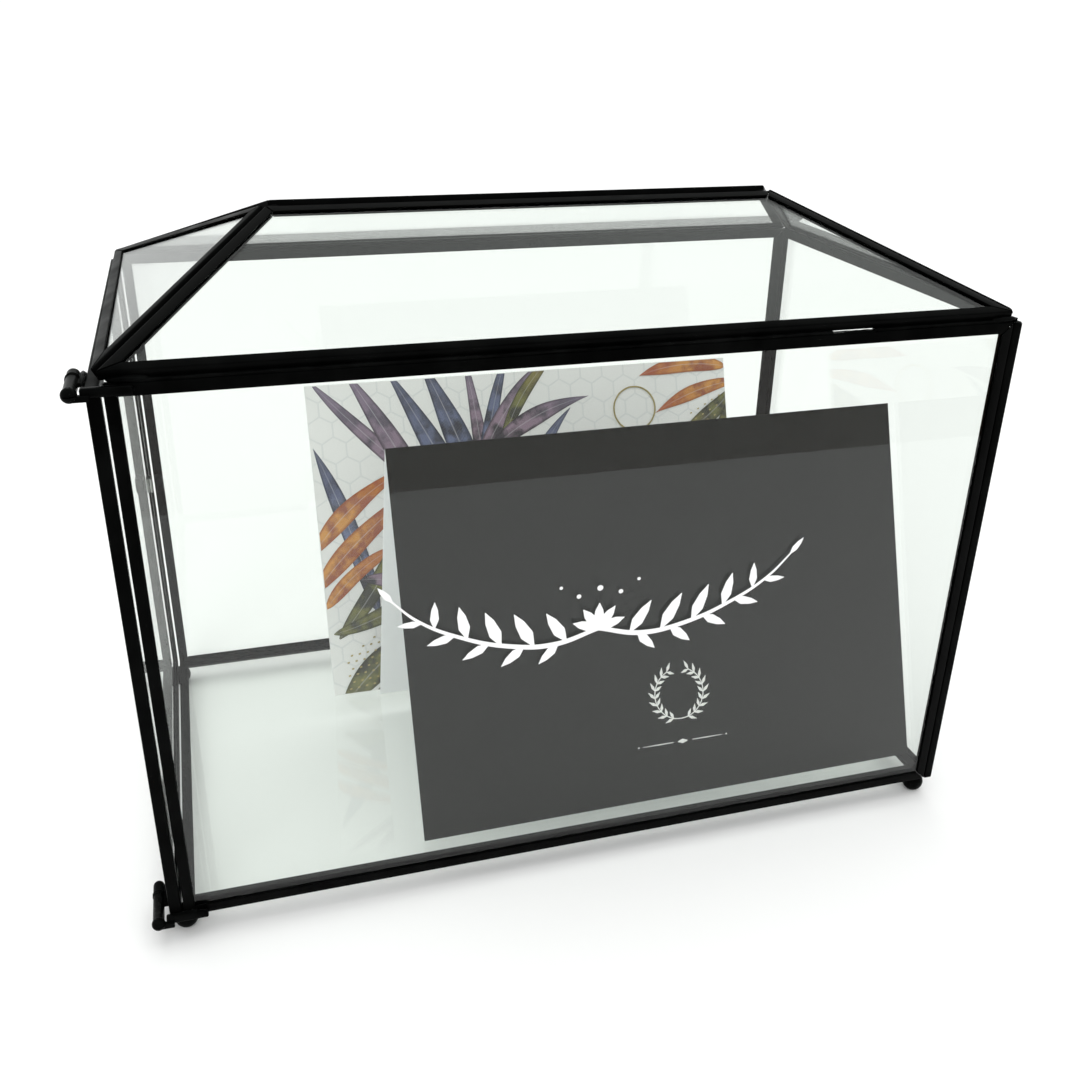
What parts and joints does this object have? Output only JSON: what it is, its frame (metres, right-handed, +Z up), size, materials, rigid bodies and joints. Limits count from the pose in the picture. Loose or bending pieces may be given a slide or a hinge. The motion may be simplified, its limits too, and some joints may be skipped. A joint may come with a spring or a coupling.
{
  "type": "wedding card box",
  "caption": "Glass box with a hipped glass roof in black metal channel; the left end is a hinged door, and cards stand inside.",
  "frame": {"origin": "middle of the overall footprint, on the surface that the feet stand on", "axes": "+X along the length to the fixed right end, -Y to the front, +Z up"},
  "size_m": [0.2652, 0.1524, 0.2013],
  "materials": {
    "black_metal": "semi-gloss black lacquer over soldered metal channel",
    "glass": "clear float glass with a faint green tint",
    "nickel": "plain steel striker",
    "sign_card": "charcoal satin card, pale inside",
    "greeting_card": "printed matt card with a leaf pattern"
  },
  "bodies": {
    "box": {"back_glass": "glass", "back_rail_bottom": "black_metal", "back_rail_top": "black_metal", "back_stile_left": "black_metal", "back_stile_right": "black_metal", "catch_magnet": "black_metal", "floor_glass": "glass", "floor_rail_back": "black_metal", "floor_rail_front": "black_metal", "floor_rail_left": "black_metal", "floor_rail_right": "black_metal", "foot_back_left": "black_metal", "foot_back_right": "black_metal", "foot_front_left": "black_metal", "foot_front_right": "black_metal", "front_glass": "glass", "front_rail_bottom": "black_metal", "front_rail_top": "black_metal", "front_stile_left": "black_metal", "front_stile_right": "black_metal", "greeting_card": "greeting_card", "hinge_bottom_bracket": "black_metal", "hinge_bottom_pin": "black_metal", "hinge_top_bracket": "black_metal", "hinge_top_pin": "black_metal", "right_glass": "glass", "right_rail_bottom": "black_metal", "right_rail_top": "black_metal", "right_stile_back": "black_metal", "right_stile_front": "black_metal", "roof_back_eave": "black_metal", "roof_back_glass": "glass", "roof_back_hip_left": "black_metal", "roof_back_hip_right": "black_metal", "roof_back_ridge": "black_metal", "roof_front_eave": "black_metal", "roof_front_glass": "glass", "roof_front_hip_left": "black_metal", "roof_front_hip_right": "black_metal", "roof_front_ridge": "black_metal", "roof_left_eave": "black_metal", "roof_left_glass": "glass", "roof_left_hip_back": "black_metal", "roof_left_hip_front": "black_metal", "roof_right_eave": "black_metal", "roof_right_glass": "glass", "roof_right_hip_back": "black_metal", "roof_right_hip_front": "black_metal", "sign_card": "sign_card"},
    "door": {"door_glass": "glass", "door_rail_bottom": "black_metal", "door_rail_top": "black_metal", "door_stile_back": "black_metal", "door_stile_front": "black_metal", "hinge_top_arm": "black_metal", "hinge_bottom_arm": "black_metal", "catch_striker": "nickel"}
  },
  "joints": [
    {"name": "door_hinge", "type": "hinge", "parent": "box", "child": "door", "pos_m": [-0.13062, -0.07422, 0.08931], "axis": [0, 0, 1], "range_deg": [0, 180]}
  ]
}
